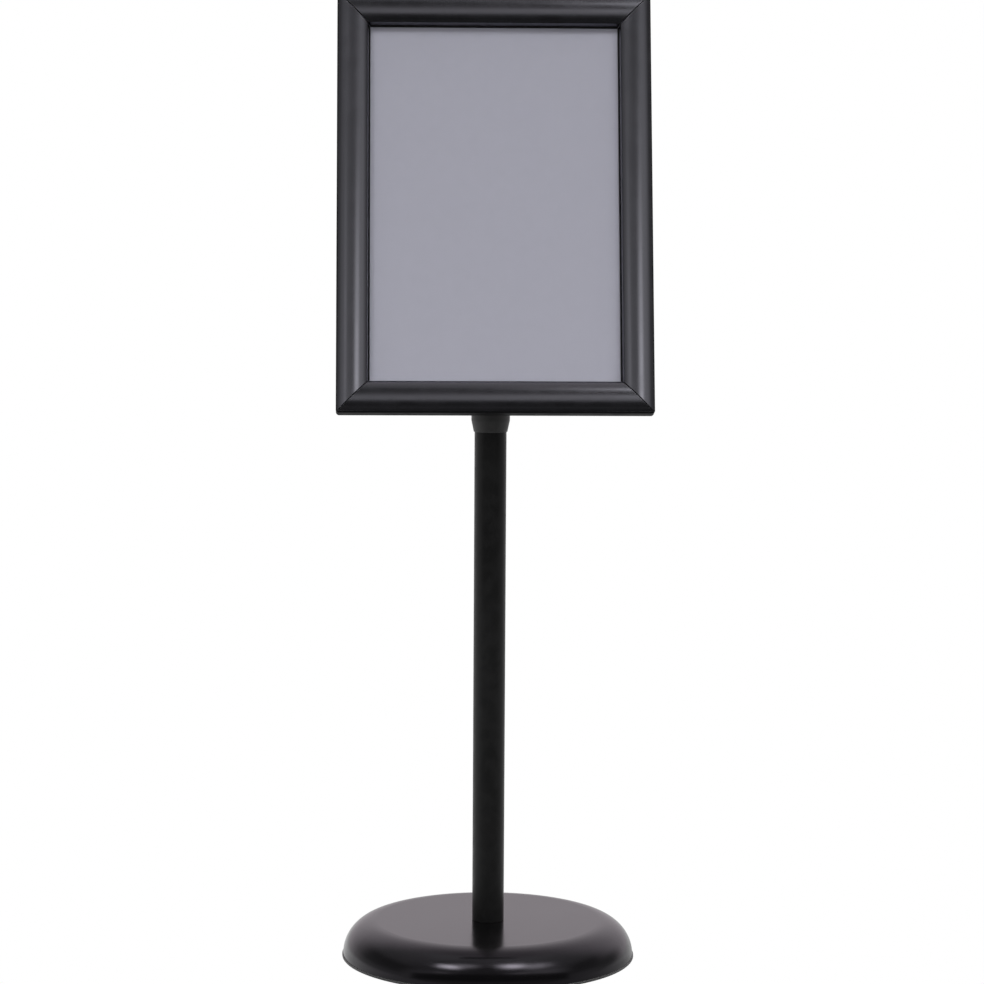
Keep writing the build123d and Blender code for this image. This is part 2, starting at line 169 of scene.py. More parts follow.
def noise(tree, place, scale, detail, roughness=0.5, distortion=0.0):
    """Noise with so many bumps a metre, and finer ones on top of them."""
    return add_node(tree, "TexNoise", {
        "Vector": place, "Scale": scale, "Detail": detail,
        "Roughness": roughness, "Distortion": distortion,
    }).outputs["Fac"]


def blend_colours(tree, mask, first, second):
    """The first colour where the mask is 0 and the second where it is 1."""
    # A plain colour is three numbers here, and its socket wants an alpha too
    first, second = (
        (*colour, 1.0) if isinstance(colour, tuple) else colour for colour in (first, second)
    )
    # The Mix node has sockets for every kind of data: 6 and 7 are its colours
    return add_node(tree, "Mix", {0: mask, 6: first, 7: second}, data_type="RGBA").outputs[2]


def blend_shaders(tree, mask, first, second):
    """The first shader where the mask is 0 and the second where it is 1."""
    return add_node(tree, "MixShader", {"Fac": mask, 1: first, 2: second}).outputs["Shader"]


# %% [markdown]
# ## The studio
# Glossy black things show the room more than themselves, so the room is most of
# their look. Its lamps are glowing cards with soft edges, because a soft edge makes a
# soft highlight. The camera sees none of them. A card is a plane of one metre, scaled
# to its size, so on its own coordinates its edges lie at a half.

# %% Helpers: a glowing card with soft edges
card_edge = 0.5


def bare_finish(name):
    """A material with an empty graph, for the studio's own surfaces."""
    finish = bpy.data.materials.new(name)
    finish.use_nodes = True
    finish.node_tree.nodes.clear()
    return finish, finish.node_tree


def add_plane(name, size):
    bpy.ops.object.select_all(action="DESELECT")
    bpy.ops.mesh.primitive_plane_add(size=size)
    bpy.context.object.name = name
    return bpy.context.object


def add_glow(name, width, height, place, aim, strength, softness):
    card = add_plane(name, 2 * card_edge)
    card.scale = (width, height, 1.0)
    card.location = place
    card.rotation_euler = (Vector(aim) - Vector(place)).to_track_quat("Z", "Y").to_euler()
    card.visible_camera = False
    glow, tree = bare_finish(name)
    # The glow fades over a strip beside each edge, as cloth does in front of a lamp
    split = add_node(tree, "SeparateXYZ", {"Vector": add_place(tree)})
    fades = []
    for axis in ("X", "Y"):
        from_middle = calculate(tree, "ABSOLUTE", split.outputs[axis])
        fades.append(grade(tree, from_middle, card_edge, card_edge - softness / 2, smooth=True))
    clear = add_node(tree, "BsdfTransparent").outputs["BSDF"]
    emission = add_node(tree, "Emission", {"Strength": strength}).outputs["Emission"]
    seen = blend_shaders(tree, calculate(tree, "MULTIPLY", *fades), clear, emission)
    add_node(tree, "OutputMaterial", {"Surface": seen})
    card.data.materials.append(glow)


# %% [markdown]
# A card could be placed by three coordinates, but a photographer says it better: so
# many degrees round to the right, so many degrees up, and so many wide and high.

# %% Helper: a card on a dome
card_distance = 5.0
lit_place = Vector((0.0, -0.08, 0.02))


def add_card(name, round_right, up_angle, wide, high, strength, softness):
    """A card on a large dome round the stand. All four angles are in degrees."""
    side = math.radians(round_right)
    rise = math.radians(up_angle)
    place = lit_place + card_distance * Vector((
        math.cos(rise) * math.sin(side), -math.cos(rise) * math.cos(side), math.sin(rise),
    ))
    width, height = (
        2 * card_distance * math.tan(math.radians(angle) / 2) for angle in (wide, high)
    )
    add_glow(name, width, height, place, lit_place, strength, softness)


# %% [markdown]
# The curved highlights on the real stand tell where its lights were: a bright soft box
# high on each side, a wider and fainter one beside each of them, and low panes that
# draw the streaks along the upright covers. The right side has one more pane, wide and
# faint. A dark flag far round to the right keeps that side of the base dark. Near the
# stand a low black board does the same for the rim in front and for the underside of
# the frame, and a paler strip at its foot gives the rim's lowest edge a faint line.

# %% Soft boxes, panes, flag and boards
# Each row: name, degrees round, up, wide and high, then strength and softness
dome_cards = (
    ("soft_box_right", 27, 57, 23, 24, 11.5, 0.95),
    ("fill_box_right", 50, 49, 30, 25, 3.3, 0.9),
    ("soft_box_left", -42, 50, 23, 20, 11.0, 0.95),
    ("fill_box_left", -29, 58, 26, 21, 2.4, 0.9),
    ("low_pane_right", 20, 27, 35, 19, 2.9, 0.9),
    ("low_pane_left", -40, 27, 20, 16, 1.05, 0.9),
    ("low_fill_right", 44, 27, 60, 34, 0.85, 0.9),
    ("dark_flag_right", 112, 8, 50, 34, 0.15, 0.9),
)
# Each row: name, width, height and distance in front in metres, then strength and softness
floor_boards = (
    ("black_board", 3.0, 0.46, 0.75, 0.05, 0.12),
    ("pale_strip", 2.6, 0.12, 0.73, 0.24, 0.95),
)
for row in dome_cards:
    add_card(*row)
for name, width, height, in_front, strength, softness in floor_boards:
    place = (0.0, -in_front, height / 2)
    add_glow(name, width, height, place, (0.0, 0.0, height / 2), strength, softness)
print("cards:", len(dome_cards) + len(floor_boards))

# %% [markdown]
# The floor and the walls change their brightness with the direction. A flat floor
# colour would be simpler, but the gloss would then show no horizon. Each surface gets
# a ramp of levels along one value. For the floor that value says how far a point
# lies to the back. The camera's own rays see plain white instead of the levels.

# %% Helpers: levels that follow a direction
plain_white = (1.0, 1.0, 1.0)
opaque_white = (*plain_white, 1.0)


def add_level_ramp(tree, value, stops, tint):
    """Shades of one tint along a value that runs from -1 to 1."""
    ramp = add_node(tree, "ValToRGB", {"Fac": grade(tree, value, -1.0, 1.0)})
    ramp.color_ramp.interpolation = "EASE"
    elements = ramp.color_ramp.elements
    while len(elements) < len(stops):
        elements.new(0.5)
    for element, (spot, level) in zip(elements, stops):
        element.position = (spot + 1) / 2
        element.color = (*(level * part for part in tint), 1.0)
    return ramp.outputs["Color"]


def add_backward(tree, direction, turned):
    """How far a direction points to the back: 1 behind the stand, -1 towards the camera."""
    angle = math.radians(turned)
    turn = add_node(tree, "VectorRotate", {"Vector": direction, "Angle": angle}, rotation_type="Z_AXIS")
    sources = {0: turn.outputs["Vector"], 1: (1.0, 1.0, 0.0)}
    flat = add_node(tree, "VectorMath", sources, operation="MULTIPLY")
    unit = add_node(tree, "VectorMath", {0: flat.outputs["Vector"]}, operation="NORMALIZE")
    return add_node(tree, "SeparateXYZ", {"Vector": unit.outputs["Vector"]}).outputs["Y"]


def white_for_camera(tree, dim_shader, bright_shader):
    """The bright shader for the camera's own rays and the dim one for all others."""
    camera_ray = add_node(tree, "LightPath").outputs["Is Camera Ray"]
    return blend_shaders(tree, camera_ray, dim_shader, bright_shader)


# %% [markdown]
# The floor is white paper to the camera. To every other ray it glows, and its levels are painted light and shade:
# brightest behind the stand and to its left, as if the lamps of the backdrop reached there, falling into painted
# shade towards the camera, with a little painted light round the base. Seen from below the floor is clear, so that
# the underside of the stand can be looked at.

# %% Floor
floor_size = 12.0
near_radius = 0.5
nearest_radius = 0.15
near_level = 0.22
floor_turn = -16.0
floor_levels = ((-1.0, 0.04), (-0.5, 0.22), (0.0, 0.46), (0.77, 0.72))

floor = add_plane("studio_floor", floor_size)
floor_finish, floor_tree = bare_finish("studio_floor")
floor_place = add_place(floor_tree)
floor_back = add_backward(floor_tree, floor_place, floor_turn)
floor_shade = add_level_ramp(floor_tree, floor_back, floor_levels, plain_white)
from_middle = add_node(floor_tree, "VectorMath", {0: floor_place}, operation="LENGTH").outputs["Value"]
# Painted light: the floor glows a little brighter round the base.
floor_near = grade(floor_tree, from_middle, near_radius, nearest_radius, 0.0, near_level, smooth=True)
floor_sum = add_node(
    floor_tree, "Mix", {0: 1.0, 6: floor_shade, 7: floor_near}, data_type="RGBA", blend_type="ADD"
)
floor_dim = add_node(floor_tree, "Emission", {"Color": floor_sum.outputs[2]}).outputs["Emission"]
floor_bright = add_node(floor_tree, "Emission", {"Color": opaque_white}).outputs["Emission"]
floor_above = white_for_camera(floor_tree, floor_dim, floor_bright)
floor_below = add_node(floor_tree, "BsdfTransparent").outputs["BSDF"]
from_below = add_node(floor_tree, "NewGeometry").outputs["Backfacing"]
floor_seen = blend_shaders(floor_tree, from_below, floor_above, floor_below)
add_node(floor_tree, "OutputMaterial", {"Surface": floor_seen})
floor.data.materials.append(floor_finish)
print("floor levels:", floor_levels)

# %% [markdown]
# The room's own light depends on where a ray looks. A large white cove stands behind
# and wraps round the sides. Its paper has a trace of violet, which the top of the base
# mirrors. In front there is a dim wall with one brighter band, and the ceiling is pale.
# Each wall is a list of height angles in degrees, with the level of light at each.

# %% Light of the three walls
front_wall = (
    (-90, 0.03), (-7, 0.06), (-1, 0.20), (7, 0.74), (18, 0.70),
    (27, 0.40), (38, 0.18), (58, 0.08), (78, 0.46),
)
side_wall = (
    (-90, 0.2), (-4, 0.4), (5, 0.3), (14, 0.15), (26, 0.12),
    (40, 0.34), (56, 0.42), (72, 0.6), (88, 0.75),
)
white_cove = (
    (-90, 0.6), (-2, 0.8), (10, 0.80), (22, 0.88), (36, 0.9),
    (47, 0.8), (60, 0.55), (74, 0.45), (88, 0.8),
)
cove_tint = (0.96, 0.89, 0.94)
print("wall stops:", len(front_wall), len(side_wall), len(white_cove))

# %% [markdown]
# The world has no surface, so its ramps read the direction of the ray itself. How high
# it points gives a level on each wall, and how far it points to the back blends the
# front wall into the side walls, and these into the cove.

# %% Room light
cove_turn = 10.0
front_to_side = (-0.8, -0.35)
side_to_cove = (0.25, 0.85)


def height_curve(stops):
    """Height angles in degrees as heights on a ball, which run from -1 to 1."""
    return tuple((math.sin(math.radians(angle)), level) for angle, level in stops)


world = bpy.data.worlds.new("studio")
bpy.context.scene.world = world
world.use_nodes = True
room = world.node_tree
room.nodes.clear()
look = add_node(room, "TexCoord").outputs["Generated"]
look_up = add_node(room, "SeparateXYZ", {"Vector": look}).outputs["Z"]
look_back = add_backward(room, look, cove_turn)
front_light, side_light, cove_light = (
    add_level_ramp(room, look_up, height_curve(stops), tint)
    for stops, tint in ((front_wall, plain_white), (side_wall, plain_white), (white_cove, cove_tint))
)
to_side = grade(room, look_back, *front_to_side, smooth=True)
to_cove = grade(room, look_back, *side_to_cove, smooth=True)
front_half = blend_colours(room, to_side, front_light, side_light)
whole_room = blend_colours(room, to_cove, front_half, cove_light)
room_light = add_node(room, "Background", {"Color": whole_room}).outputs["Background"]
backdrop = add_node(room, "Background", {"Color": opaque_white}).outputs["Background"]
add_node(room, "OutputWorld", {"Surface": white_for_camera(room, room_light, backdrop)})
bpy.context.scene.view_settings.view_transform = "Standard"
print("world:", world.name, "nodes:", len(room.nodes))

# %% [markdown]
# ## Effects that several finishes share
# Fine grain, soft smudges, dust and worn edges turn up on metal, paint and plastic
# alike. Each one is a node group with named sockets, built once. A group only gives
# out masks, heights and normals: the shader itself stays in each material.

# %% Helpers: a shared effect
def new_effect(name, inputs):
    """A node group with the named inputs (kind and value), and the sockets they enter by."""
    group = bpy.data.node_groups.new(name, "ShaderNodeTree")
    for label, (kind, value) in inputs.items():
        socket = group.interface.new_socket(name=label, in_out="INPUT", socket_type="NodeSocket" + kind)
        if value is not None:
            socket.default_value = value
    return group, group.nodes.new("NodeGroupInput").outputs


def end_effect(group, outputs):
    """Give the group its named outputs (kind and source)."""
    for label, (kind, _) in outputs.items():
        group.interface.new_socket(name=label, in_out="OUTPUT", socket_type="NodeSocket" + kind)
    leave = group.nodes.new("NodeGroupOutput")
    feed(group, leave.inputs, {label: source for label, (_, source) in outputs.items()})
    print("effect:", group.name)


def add_effect(tree, group, place, values=None):
    """Place an effect in a material with its own values, and give its outputs."""
    return add_node(tree, "Group", {"Vector": place, **(values or {})}, node_tree=group).outputs


# %% [markdown]
# **Grain.** Two sizes of noise, one fine and one twenty times coarser. The fine one
# is the texture of a moulded or powder-coated skin. The coarse one is where hands,
# rollers and cloths have left the surface slightly more or less shiny.

# %% Grain effect
coarse_share = 0.05
grain, entry = new_effect("surface_grain", {
    "Vector": ("Vector", None), "Grains per metre": ("Float", 2000.0),
})
place, per_metre = entry["Vector"], entry["Grains per metre"]
fine = noise(grain, place, per_metre, 3.0, 0.6)
coarse = noise(grain, place, calculate(grain, "MULTIPLY", per_metre, coarse_share), 4.0, 0.55, 0.4)
smudge = grade(grain, coarse, 0.35, 0.65, smooth=True)
end_effect(grain, {"Height": ("Float", fine), "Smudge": ("Float", smudge)})

# %% [markdown]
# **Die lines.** An extruded aluminium profile carries fine lines along its whole
# length, scratched by the die it was pushed through. Noise that is stretched along
# one direction draws them. The vector that comes in is already turned and scaled in
# the material: one unit of it is one line's width across, and a long run lengthwise.

# %% Die lines effect
die_lines, entry = new_effect("die_lines", {"Vector": ("Vector", None)})
hair = noise(die_lines, entry["Vector"], 1.0, 4.0, 0.7)
broad = noise(die_lines, entry["Vector"], 0.12, 2.0)
end_effect(die_lines, {"Height": ("Float", hair), "Streak": ("Float", broad)})

# %% [markdown]
# **Worn edges.** No real edge is sharp: paint runs thin there and hands rub it
# bright. The Bevel node looks a little way round each point and gives back a normal
# that is rounded at edges. Where it departs from the true normal there is an edge.
# Noise breaks the mask up, because wear is never even. The rounded normal goes out
# too, and gives each finish the soft glint of a real corner.

# %% Worn edges effect
full_wear = 0.3
worn_edges, entry = new_effect("worn_edges", {
    "Vector": ("Vector", None), "Reach": ("Float", 0.0006), "Start": ("Float", 0.12),
})
rounded = add_node(worn_edges, "Bevel", {"Radius": entry["Reach"]}, samples=3).outputs["Normal"]
true_normal = add_node(worn_edges, "NewGeometry").outputs["Normal"]
agreement = add_node(worn_edges, "VectorMath", {0: rounded, 1: true_normal}, operation="DOT_PRODUCT")
departure = calculate(worn_edges, "SUBTRACT", 1.0, agreement.outputs["Value"])
patches = noise(worn_edges, entry["Vector"], 90.0, 5.0, 0.65)
broken = calculate(worn_edges, "MULTIPLY", departure, patches)
edge_mask = grade(worn_edges, broken, entry["Start"], full_wear, smooth=True)
end_effect(worn_edges, {"Mask": ("Float", edge_mask), "Normal": ("Vector", rounded)})

# %% [markdown]
# **Dust.** It settles only on what faces up, in faint uneven patches. The mask is
# the upward part of the surface's normal, broken by two sizes of noise.

# %% Dust effect
dust, entry = new_effect("settled_dust", {"Vector": ("Vector", None)})
facing = add_node(dust, "NewGeometry").outputs["Normal"]
facing_up = add_node(dust, "SeparateXYZ", {"Vector": facing}).outputs["Z"]
lies_flat = grade(dust, facing_up, 0.55, 1.0, smooth=True)
clouds = grade(dust, noise(dust, entry["Vector"], 14.0, 8.0, 0.7, 0.6), 0.45, 0.75)
specks = grade(dust, noise(dust, entry["Vector"], 900.0, 2.0), 0.5, 0.72)
settled = calculate(dust, "MULTIPLY", clouds, specks)
end_effect(dust, {"Mask": ("Float", calculate(dust, "MULTIPLY", settled, lies_flat))})

# %% [markdown]
# ## The parts of a finish
# Every finish below is one Principled shader. What changes over the surface is linked
# to its sockets: colour and roughness by the masks of the effects, and the normal by
# a Bump node, whose depth is given in metres as the real relief. What is the same all
# over is set on the shader's own sockets.

# %% Helpers: the parts of a finish
def new_finish(name):
    """A material, its graph, and the coordinates of its object."""
    finish = bpy.data.materials.new(name)
    finish.use_nodes = True
    return finish, finish.node_tree, add_place(finish.node_tree)


def set_shader(finish, sources):
    """Link or set sockets of the finish's own shader."""
    tree = finish.node_tree
    feed(tree, tree.nodes["Principled BSDF"].inputs, sources)


def blend_values(tree, mask, limits):
    """A value that runs from the first limit to the second as the mask runs from 0 to 1."""
    return grade(tree, mask, 0.0, 1.0, *limits)


def add_relief(tree, height, depth, normal=None):
    """A normal with relief of a true depth in metres, on a rounded normal where there is one."""
    sources = {"Height": height, "Strength": 1.0, "Distance": depth}
    if normal is not None:
        sources["Normal"] = normal
    return add_node(tree, "Bump", sources).outputs["Normal"]


def without_lean(tree, place, sources):
    """The object's coordinates with the frame's lean undone, then moved or scaled."""
    sources = {"Vector": place, "Rotation": (-tilt, 0.0, 0.0), **sources}
    return add_node(tree, "Mapping", sources, vector_type="TEXTURE").outputs["Vector"]


def paler(tone, factor=1.0, added=0.0):
    return tuple(min(1.0, factor * part + added) for part in tone)


# %% [markdown]
# ## Black anodised profiles
# The snap covers and rear rails are extruded aluminium, etched and dyed black. The dye darkens the metal's mirror
# but doesn't take it away, so the finish is a metal of a very dark colour with a soft gloss. The die lines run
# along each profile and spread the gloss across it, so the level rails and the upright ones have two materials
# that differ in which way the pattern is turned. The rails are duller than the covers. Their finish is the covers'
# one with darker tones and a lower specular tint, which is painted shade that keeps them dark at a glancing view.

# %% Anodised finish
line_pitch = 0.0005
line_run = 0.35
line_depth = 0.000003
across_the_lines = 0.25
level_cell = (line_run, line_pitch, line_pitch)
upright_cell = (line_pitch, line_pitch, line_run)
# Dark and light tones of the dye, and the tone of a rubbed edge
cover_tones = ((0.105, 0.104, 0.118), (0.135, 0.134, 0.150), (0.21, 0.21, 0.225))
# The rails' tones are the covers' tones darkened: painted shade.
rail_shaded_tones = ((0.030, 0.030, 0.032), (0.042, 0.042, 0.044), (0.07, 0.07, 0.073))
# Tones, gloss, spread and the tint at a glancing view, the same for all four rails. The tones and the tint are
# darkened as painted shade.
rail_shaded_look = (rail_shaded_tones, (0.38, 0.46), 0.6, 0.55)


def make_anodised(name, along, line_cell, tones, gloss, spread, glancing=1.0):
    dark, light, worn_tone = tones
    finish, tree, place = new_finish(name)
    lines = add_effect(tree, die_lines, without_lean(tree, place, {"Scale": line_cell}))
    handled = add_effect(tree, grain, place, {"Grains per metre": 1200.0})
    worn = add_effect(tree, worn_edges, place, {"Reach": 0.0005, "Start": 0.10})
    streaked = blend_colours(tree, lines["Streak"], dark, light)
    # The lines turn with the piece, so their direction is carried from object to world
    direction = add_node(
        tree, "VectorTransform", {"Vector": along}, convert_from="OBJECT", convert_to="WORLD"
    )
    set_shader(finish, {
        "Base Color": blend_colours(tree, worn["Mask"], streaked, worn_tone),
        "Roughness": blend_values(tree, handled["Smudge"], gloss),
        "Normal": add_relief(tree, lines["Height"], line_depth, worn["Normal"]),
        "Tangent": direction.outputs["Vector"],
        "Anisotropic": spread,
        "Anisotropic Rotation": across_the_lines,
        "Metallic": 1.0,
        "Specular Tint": (glancing, glancing, glancing, 1.0),
    })
    return finish


cover_level = make_anodised("cover_level", face_right, level_cell, cover_tones, (0.18, 0.22), 0.8)
cover_upright = make_anodised("cover_upright", face_up, upright_cell, cover_tones, (0.17, 0.21), 0.5)
rail_level = make_anodised("rail_level", face_right, level_cell, *rail_shaded_look)
rail_upright = make_anodised("rail_upright", face_up, upright_cell, *rail_shaded_look)
print("anodised:", cover_level.name, cover_upright.name, rail_level.name, rail_upright.name)

# %% [markdown]
# ## Skins: powder coat, mouldings and rubber
# Paint and plastic have the same build-up: a grained skin, a slightly different tone
# and gloss where it is handled, thin or rubbed edges, and a little dust on top. One
# maker serves them all, with its own tones, gloss range, grain and wear for each.
# The pole's satin powder coat is a close, pebbled skin that spreads reflections.

# %% Satin powder coat
def make_skin(name, tones, gloss, grains, depth, wear):
    """Tones: the skin itself, where it is handled, where it is worn, and its dust."""
    skin_tone, handled_tone, worn_tone, dusty_tone = tones
    finish, tree, place = new_finish(name)
    skin = add_effect(tree, grain, place, {"Grains per metre": grains})
    worn = add_effect(tree, worn_edges, place, wear)
    dusty = add_effect(tree, dust, place)
    handled = blend_colours(tree, skin["Smudge"], skin_tone, handled_tone)
    rubbed = blend_colours(tree, worn["Mask"], handled, worn_tone)
    set_shader(finish, {
        "Base Color": blend_colours(tree, dusty["Mask"], rubbed, dusty_tone),
        "Roughness": blend_values(tree, skin["Smudge"], gloss),
        "Normal": add_relief(tree, skin["Height"], depth, worn["Normal"]),
    })
    return finish


satin_black = (0.0135, 0.0135, 0.0138)
satin_tones = (satin_black, paler(satin_black, 1.35), (0.03, 0.03, 0.031), (0.045, 0.044, 0.042))
paint_wear = {"Reach": 0.0005, "Start": 0.14}
satin_paint = make_skin("satin_black_steel", satin_tones, (0.34, 0.42), 1600.0, 0.000012, paint_wear)
set_shader(satin_paint, {"Specular IOR Level": 0.3})
print("satin:", satin_paint.name)

# %% [markdown]
# **Gloss lacquer.** The base shell is sprayed and stoved to a deep gloss. Its lacquer
# settles into gentle waves about as wide as a lentil, which painters call orange
# peel. It is nearly black, so its look is almost all reflection, and its edges are
# too round to wear.

# %% Gloss lacquer
lacquer_tones = ((0.0028, 0.0027, 0.0030), (0.0042, 0.0040, 0.0043))
lacquer_dust = (0.03, 0.029, 0.028)
gloss_paint, gloss_tree, gloss_place = new_finish("gloss_black_steel")
waves = add_effect(gloss_tree, grain, gloss_place, {"Grains per metre": 260.0})
gloss_dust = add_effect(gloss_tree, dust, gloss_place)
lacquer = blend_colours(gloss_tree, waves["Smudge"], *lacquer_tones)
set_shader(gloss_paint, {
    "Base Color": blend_colours(gloss_tree, gloss_dust["Mask"], lacquer, lacquer_dust),
    "Roughness": blend_values(gloss_tree, waves["Smudge"], (0.17, 0.20)),
    "Normal": add_relief(gloss_tree, waves["Height"], 0.000006),
    "IOR": 1.5,
    "Specular Tint": (0.91, 0.85, 0.98, 1.0),
})
print("gloss:", gloss_paint.name)

# %% [markdown]
# **Mouldings and rubber.** The tray under the base and the neck behind the frame are
# injection moulded, with the fine spark-eroded grain that hides flow marks. The feet
# are rubber, which is duller and picks up pale dust. The back panel is an extruded
# plastic sheet, and the slide washer is milky nylon, which lets a little light in.

# %% Moulded finishes
def make_moulded(name, tone, handled_tone, gloss, grains, depth):
    tones = (tone, handled_tone, paler(handled_tone, 2.2), paler(handled_tone, added=0.05))
    return make_skin(name, tones, gloss, grains, depth, {"Reach": 0.0007, "Start": 0.12})


black_moulding = make_moulded(
    "black_moulding", (0.096, 0.096, 0.0965), (0.112, 0.112, 0.1125), (0.42, 0.52), 2600.0, 0.00002
)
foot_rubber = make_moulded(
    "foot_rubber", (0.016, 0.016, 0.016), (0.028, 0.028, 0.027), (0.7, 0.85), 1500.0, 0.00004
)
panel_plastic = make_moulded(
    "panel_plastic", (0.022, 0.022, 0.024), (0.030, 0.030, 0.032), (0.38, 0.5), 1100.0, 0.000015
)
white_nylon = make_moulded(
    "white_nylon", (0.74, 0.73, 0.69), (0.80, 0.79, 0.76), (0.38, 0.5), 900.0, 0.00001
)
set_shader(black_moulding, {"Specular IOR Level": 0.3})
set_shader(white_nylon, {"Subsurface Weight": 0.1, "Subsurface Scale": 0.001})
print("moulded:", black_moulding.name, foot_rubber.name, panel_plastic.name, white_nylon.name)

# %% [markdown]
# ## Bare metals
# Inside the mechanism sit zinc-plated bolts, spring steel and a brass insert. Zinc
# grows in crystals, which a Voronoi pattern of small cells imitates with slightly
# different greys. Turned parts carry rings from the tool, which a fine noise hints at.

# %% Metal finishes
metal_wear = {"Reach": 0.0004, "Start": 0.10}
tool_mark_depth = 0.000006


def cell_tone(tree, place, scale, channel):
    """One random value for each cell of a Voronoi pattern."""
    cells = add_node(tree, "TexVoronoi", {"Vector": place, "Scale": scale})
    return add_node(tree, "SeparateColor", {"Color": cells.outputs["Color"]}).outputs[channel]


def make_metal(name, tone, paler_tone, gloss, crystals):
    finish, tree, place = new_finish(name)
    marks = add_effect(tree, grain, place, {"Grains per metre": 2200.0})
    worn = add_effect(tree, worn_edges, place, metal_wear)
    toned = blend_colours(tree, cell_tone(tree, place, crystals, "Red"), tone, paler_tone)
    set_shader(finish, {
        "Base Color": blend_colours(tree, worn["Mask"], toned, paler(paler_tone, 1.4)),
        "Roughness": blend_values(tree, marks["Smudge"], gloss),
        "Normal": add_relief(tree, marks["Height"], tool_mark_depth, worn["Normal"]),
        "Metallic": 1.0,
    })
    return finish


zinc_steel = make_metal("zinc_steel", (0.50, 0.51, 0.53), (0.62, 0.63, 0.64), (0.24, 0.36), 700.0)
black_screws = make_metal(
    "black_steel_screws", (0.045, 0.045, 0.048), (0.07, 0.07, 0.072), (0.3, 0.42), 1400.0
)
insert_brass = make_metal("insert_brass", (0.66, 0.49, 0.23), (0.78, 0.60, 0.31), (0.2, 0.34), 1200.0)
spring_steel = make_metal("spring_steel", (0.36, 0.36, 0.38), (0.46, 0.46, 0.47), (0.22, 0.34), 2500.0)
print("metals:", zinc_steel.name, black_screws.name, insert_brass.name, spring_steel.name)

# %% [markdown]
# ## Ballast, poster card and clear sheet
# The weight in the base is cast from cement and stone chips: big cells of different
# greys with pores between. It is hidden in use, but it shows when the base is taken
# apart, so it gets its own rough finish.

# %% Ballast
chip_tones = ((0.34, 0.33, 0.31), (0.52, 0.50, 0.47))
cement_tone = (0.40, 0.39, 0.37)
ballast_stone, stone_tree, stone_place = new_finish("ballast_stone")
pores = add_effect(stone_tree, grain, stone_place, {"Grains per metre": 900.0})
chips = blend_colours(stone_tree, cell_tone(stone_tree, stone_place, 160.0, "Green"), *chip_tones)
set_shader(ballast_stone, {
    "Base Color": blend_colours(stone_tree, pores["Smudge"], chips, cement_tone),
    "Roughness": blend_values(stone_tree, pores["Smudge"], (0.82, 0.95)),
    "Normal": add_relief(stone_tree, pores["Height"], 0.0004),
})
print("stone:", ballast_stone.name)

# %% [markdown]
# ** Poster card.** The poster is a plain grey card with a trace of violet, and paper fibres fleck it. Painted shade makes it an eighth darker from foot to top, with a slow wander so that the fall isn't ruled. The Mapping node puts the middle of the card at zero and stands it upright, so that its Z runs straight up the card.

# %% Poster card
card_foot_tone = (0.523, 0.522, 0.618)
card_top_shaded_tone = (0.459, 0.457, 0.543)
fleck_tone = (0.56, 0.56, 0.65)
half_card = 0.14
wander_height = 0.02
fleck_share = 0.04
grey_card, card_tree, card_place = new_finish("grey_card")
fibres = add_effect(card_tree, grain, card_place, {"Grains per metre": 1400.0})
on_card = without_lean(card_tree, card_place, {"Location": face_middle})
card_height = add_node(card_tree, "SeparateXYZ", {"Vector": on_card}).outputs["Z"]
mottle = noise(card_tree, card_place, 9.0, 3.0)
wandering = calculate(card_tree, "MULTIPLY_ADD", mottle, wander_height, card_height)
up_the_card = grade(card_tree, wandering, -half_card, half_card)
# Painted shade: the card's colour darkens towards its top.
painted_shade_tone = blend_colours(card_tree, up_the_card, card_foot_tone, card_top_shaded_tone)
flecks = calculate(card_tree, "MULTIPLY", fibres["Height"], fleck_share)
set_shader(grey_card, {
    "Base Color": blend_colours(card_tree, flecks, painted_shade_tone, fleck_tone),
    "Roughness": blend_values(card_tree, fibres["Smudge"], (0.62, 0.72)),
    "Normal": add_relief(card_tree, fibres["Height"], 0.00001),
})
print("card:", grey_card.name)

# %% [markdown]
# **Clear film.** In front of the card lies a matt film that stops glare. Real
# transmission would need refraction through a sheet thinner than a millimetre. Alpha
# does the same at less cost: most light goes straight through, and the small rest is
# a wide, milky reflection.

# %% Clear film
film_tones = ((0.80, 0.80, 0.835), (0.82, 0.82, 0.855))
clear_film, film_tree, film_place = new_finish("clear_film")
matting = add_effect(film_tree, grain, film_place, {"Grains per metre": 3000.0})
set_shader(clear_film, {
    "Base Color": blend_colours(film_tree, matting["Smudge"], *film_tones),
    "Roughness": blend_values(film_tree, matting["Smudge"], (0.36, 0.46)),
    "Alpha": blend_values(film_tree, matting["Smudge"], (0.060, 0.068)),
    "Normal": add_relief(film_tree, matting["Height"], 0.000008),
})
print("film:", clear_film.name)

# %% [markdown]
# ## Dressing the solids
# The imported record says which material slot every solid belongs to. We walk through
# that list and hand each solid its finish. The profiles are the exception: their slot
# has four finishes, for covers and rails, level and upright, and the name says which.

# %% Dress the CAD nodes
finishes = {
    "gloss_black_steel": gloss_paint,
    "satin_black_steel": satin_paint,
    "black_anodised": rail_level,
    "black_moulding": black_moulding,
    "ballast_stone": ballast_stone,
    "foot_rubber": foot_rubber,
    "zinc_steel": zinc_steel,
    "black_steel_screws": black_screws,
    "insert_brass": insert_brass,
    "spring_steel": spring_steel,
    "white_nylon": white_nylon,
    "panel_plastic": panel_plastic,
    "grey_card": grey_card,
    "clear_film": clear_film,
}
slots = {entry["node"]: entry["material_slot"] for entry in record["subparts"]}
for name, node in nodes.items():
    finish = finishes[slots[name]]
    upright = name.endswith(("_left", "_right"))
    if name.startswith("cover_"):
        finish = cover_upright if upright else cover_level
    elif name.startswith("rail_") and upright:
        finish = rail_upright
    node.data.materials.clear()
    node.data.materials.append(finish)
print("dressed:", len(nodes))

